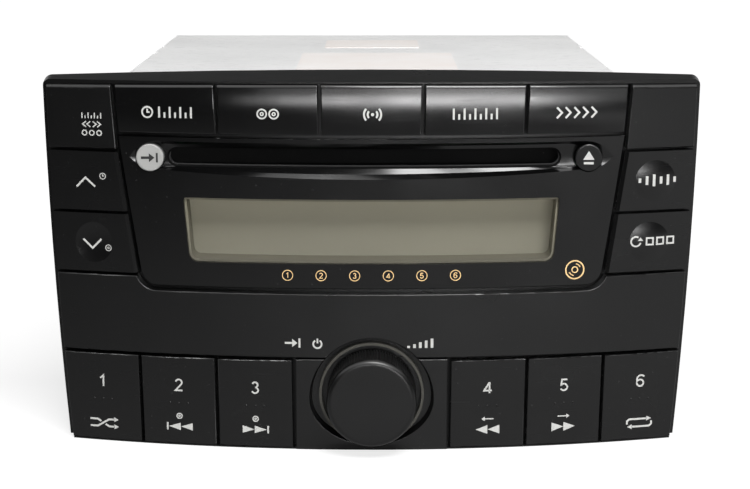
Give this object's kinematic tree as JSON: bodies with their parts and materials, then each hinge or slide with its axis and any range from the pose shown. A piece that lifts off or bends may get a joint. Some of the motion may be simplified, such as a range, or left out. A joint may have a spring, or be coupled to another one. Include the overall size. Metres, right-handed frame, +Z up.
{
  "type": "car cd player",
  "caption": "Double-height car radio and disc changer: curved black face with keys, display window, disc slot and volume knob on a plated steel box.",
  "frame": {"origin": "middle of the footprint, level with the face's foot", "axes": "+X to the viewer's right, +Y from the face to the rear, +Z up"},
  "size_m": [0.2378, 0.2198, 0.1355],
  "materials": {
    "black_plastic": "satin",
    "silver_plastic": "satin",
    "ring_plastic": "satin",
    "felt": "matte",
    "clear_lens": "polished",
    "display_film": "matte",
    "display_glass": "polished",
    "circuit_board": "satin",
    "component_black": "matte",
    "socket_plastic": "matte",
    "plated_sheet": "satin",
    "steel": "satin",
    "motor_can": "satin",
    "cast_aluminium": "satin",
    "nickel": "polished",
    "label_paper": "matte",
    "ribbon_film": "satin",
    "tray_plastic": "satin",
    "roller_rubber": "matte",
    "gear_plastic": "matte",
    "brass": "satin"
  },
  "bodies": {
    "root": {"amplifier_chip": "component_black", "antenna_socket": "nickel", "aux_connector": "socket_plastic", "board_components": "component_black", "chassis_screws": "steel", "chassis_tub": "plated_sheet", "cover_labels": "label_paper", "display_filter": "display_film", "display_frame": "black_plastic", "display_panel": "black_plastic", "display_window": "clear_lens", "elevator_posts": "steel", "encoder": "motor_can", "face_back_cover": "black_plastic", "face_screws": "steel", "front_bezel": "black_plastic", "front_board": "circuit_board", "heat_sink": "cast_aluminium", "knob_ring": "ring_plastic", "lcd_glass": "display_glass", "loading_motor": "motor_can", "locating_stud": "steel", "main_board": "circuit_board", "main_connector": "socket_plastic", "mechanism_frame": "plated_sheet", "rear_panel": "plated_sheet", "ribbon_cable": "ribbon_film", "sled_motor": "motor_can", "sled_rods": "steel", "slot_felt": "felt", "spindle_motor": "motor_can", "tact_switches": "component_black", "top_cover": "plated_sheet"},
    "top_key_1": {"top_key_1": "black_plastic"},
    "top_key_2": {"top_key_2": "black_plastic"},
    "top_key_3": {"top_key_3": "black_plastic"},
    "top_key_4": {"top_key_4": "black_plastic"},
    "top_key_5": {"top_key_5": "black_plastic"},
    "left_upper_key": {"left_upper_key": "black_plastic"},
    "left_lower_key": {"left_lower_key": "black_plastic"},
    "right_upper_key": {"right_upper_key": "black_plastic"},
    "right_lower_key": {"right_lower_key": "black_plastic"},
    "preset_key_1": {"preset_key_1": "black_plastic"},
    "preset_key_2": {"preset_key_2": "black_plastic"},
    "preset_key_3": {"preset_key_3": "black_plastic"},
    "preset_key_4": {"preset_key_4": "black_plastic"},
    "preset_key_5": {"preset_key_5": "black_plastic"},
    "preset_key_6": {"preset_key_6": "black_plastic"},
    "load_key": {"load_key": "silver_plastic"},
    "eject_key": {"eject_key": "black_plastic"},
    "knob": {"volume_knob": "black_plastic"},
    "shaft": {"encoder_shaft": "steel"},
    "shutter": {"slot_shutter": "black_plastic"},
    "roller": {"feed_roller": "roller_rubber", "roller_gear": "gear_plastic"},
    "pinion": {"motor_pinion": "brass"},
    "turntable": {"turntable": "tray_plastic"},
    "sled": {"pickup_sled": "tray_plastic"},
    "screw": {"lead_screw": "steel"},
    "trays": {"disc_trays": "tray_plastic"}
  },
  "joints": [
    {"name": "top_key_1_press", "type": "slide", "parent": "root", "child": "top_key_1", "axis": [0, 1, 0], "range_m": [0, 0.001], "stiffness_N_per_m": 400, "springref_m": -0.001},
    {"name": "top_key_2_press", "type": "slide", "parent": "root", "child": "top_key_2", "axis": [0, 1, 0], "range_m": [0, 0.001], "stiffness_N_per_m": 400, "springref_m": -0.001},
    {"name": "top_key_3_press", "type": "slide", "parent": "root", "child": "top_key_3", "axis": [0, 1, 0], "range_m": [0, 0.001], "stiffness_N_per_m": 400, "springref_m": -0.001},
    {"name": "top_key_4_press", "type": "slide", "parent": "root", "child": "top_key_4", "axis": [0, 1, 0], "range_m": [0, 0.001], "stiffness_N_per_m": 400, "springref_m": -0.001},
    {"name": "top_key_5_press", "type": "slide", "parent": "root", "child": "top_key_5", "axis": [0, 1, 0], "range_m": [0, 0.001], "stiffness_N_per_m": 400, "springref_m": -0.001},
    {"name": "left_upper_key_press", "type": "slide", "parent": "root", "child": "left_upper_key", "axis": [0, 1, 0], "range_m": [0, 0.001], "stiffness_N_per_m": 400, "springref_m": -0.001},
    {"name": "left_lower_key_press", "type": "slide", "parent": "root", "child": "left_lower_key", "axis": [0, 1, 0], "range_m": [0, 0.001], "stiffness_N_per_m": 400, "springref_m": -0.001},
    {"name": "right_upper_key_press", "type": "slide", "parent": "root", "child": "right_upper_key", "axis": [0, 1, 0], "range_m": [0, 0.001], "stiffness_N_per_m": 400, "springref_m": -0.001},
    {"name": "right_lower_key_press", "type": "slide", "parent": "root", "child": "right_lower_key", "axis": [0, 1, 0], "range_m": [0, 0.001], "stiffness_N_per_m": 400, "springref_m": -0.001},
    {"name": "preset_key_1_press", "type": "slide", "parent": "root", "child": "preset_key_1", "axis": [0, 1, 0], "range_m": [0, 0.001], "stiffness_N_per_m": 400, "springref_m": -0.001},
    {"name": "preset_key_2_press", "type": "slide", "parent": "root", "child": "preset_key_2", "axis": [0, 1, 0], "range_m": [0, 0.001], "stiffness_N_per_m": 400, "springref_m": -0.001},
    {"name": "preset_key_3_press", "type": "slide", "parent": "root", "child": "preset_key_3", "axis": [0, 1, 0], "range_m": [0, 0.001], "stiffness_N_per_m": 400, "springref_m": -0.001},
    {"name": "preset_key_4_press", "type": "slide", "parent": "root", "child": "preset_key_4", "axis": [0, 1, 0], "range_m": [0, 0.001], "stiffness_N_per_m": 400, "springref_m": -0.001},
    {"name": "preset_key_5_press", "type": "slide", "parent": "root", "child": "preset_key_5", "axis": [0, 1, 0], "range_m": [0, 0.001], "stiffness_N_per_m": 400, "springref_m": -0.001},
    {"name": "preset_key_6_press", "type": "slide", "parent": "root", "child": "preset_key_6", "axis": [0, 1, 0], "range_m": [0, 0.001], "stiffness_N_per_m": 400, "springref_m": -0.001},
    {"name": "load_key_press", "type": "slide", "parent": "root", "child": "load_key", "axis": [0, 1, 0], "range_m": [0, 0.001], "stiffness_N_per_m": 400, "springref_m": -0.001},
    {"name": "eject_key_press", "type": "slide", "parent": "root", "child": "eject_key", "axis": [0, 1, 0], "range_m": [0, 0.001], "stiffness_N_per_m": 400, "springref_m": -0.001},
    {"name": "volume_turn", "type": "hinge", "parent": "root", "child": "shaft", "pos_m": [0, -0.0777, 0.021], "axis": [0, 1, 0], "continuous": true},
    {"name": "power_press", "type": "slide", "parent": "shaft", "child": "knob", "axis": [0, 1, 0], "range_m": [0, 0.0008], "stiffness_N_per_m": 400, "springref_m": -0.001},
    {"name": "shutter_swing", "type": "hinge", "parent": "root", "child": "shutter", "pos_m": [0, -0.0777, 0.1114], "axis": [1, 0, 0], "range_deg": [0, 70], "stiffness_Nm_per_rad": 0.0004, "springref_deg": -34.38},
    {"name": "roller_spin", "type": "hinge", "parent": "root", "child": "roller", "pos_m": [0, -0.0582, 0.1013], "axis": [1, 0, 0], "continuous": true},
    {"name": "pinion_spin", "type": "hinge", "parent": "root", "child": "pinion", "pos_m": [0, -0.0582, 0.0893], "axis": [1, 0, 0], "continuous": true},
    {"name": "turntable_spin", "type": "hinge", "parent": "root", "child": "turntable", "pos_m": [0, 0.0168, 0.0735], "axis": [0, 0, 1], "continuous": true},
    {"name": "sled_slide", "type": "slide", "parent": "root", "child": "sled", "axis": [0, -1, 0], "range_m": [0, 0.034]},
    {"name": "screw_spin", "type": "hinge", "parent": "root", "child": "screw", "pos_m": [0.024, -0.0562, 0.069], "axis": [0, 1, 0], "continuous": true},
    {"name": "trays_lift", "type": "slide", "parent": "root", "child": "trays", "axis": [0, 0, 1], "range_m": [0, 0.025]}
  ],
  "couplings": [
    {"joint": "pinion_spin", "follows": "roller_spin", "ratio": -3},
    {"joint": "screw_spin", "follows": "sled_slide", "rad_per_m": 2217.6}
  ]
}
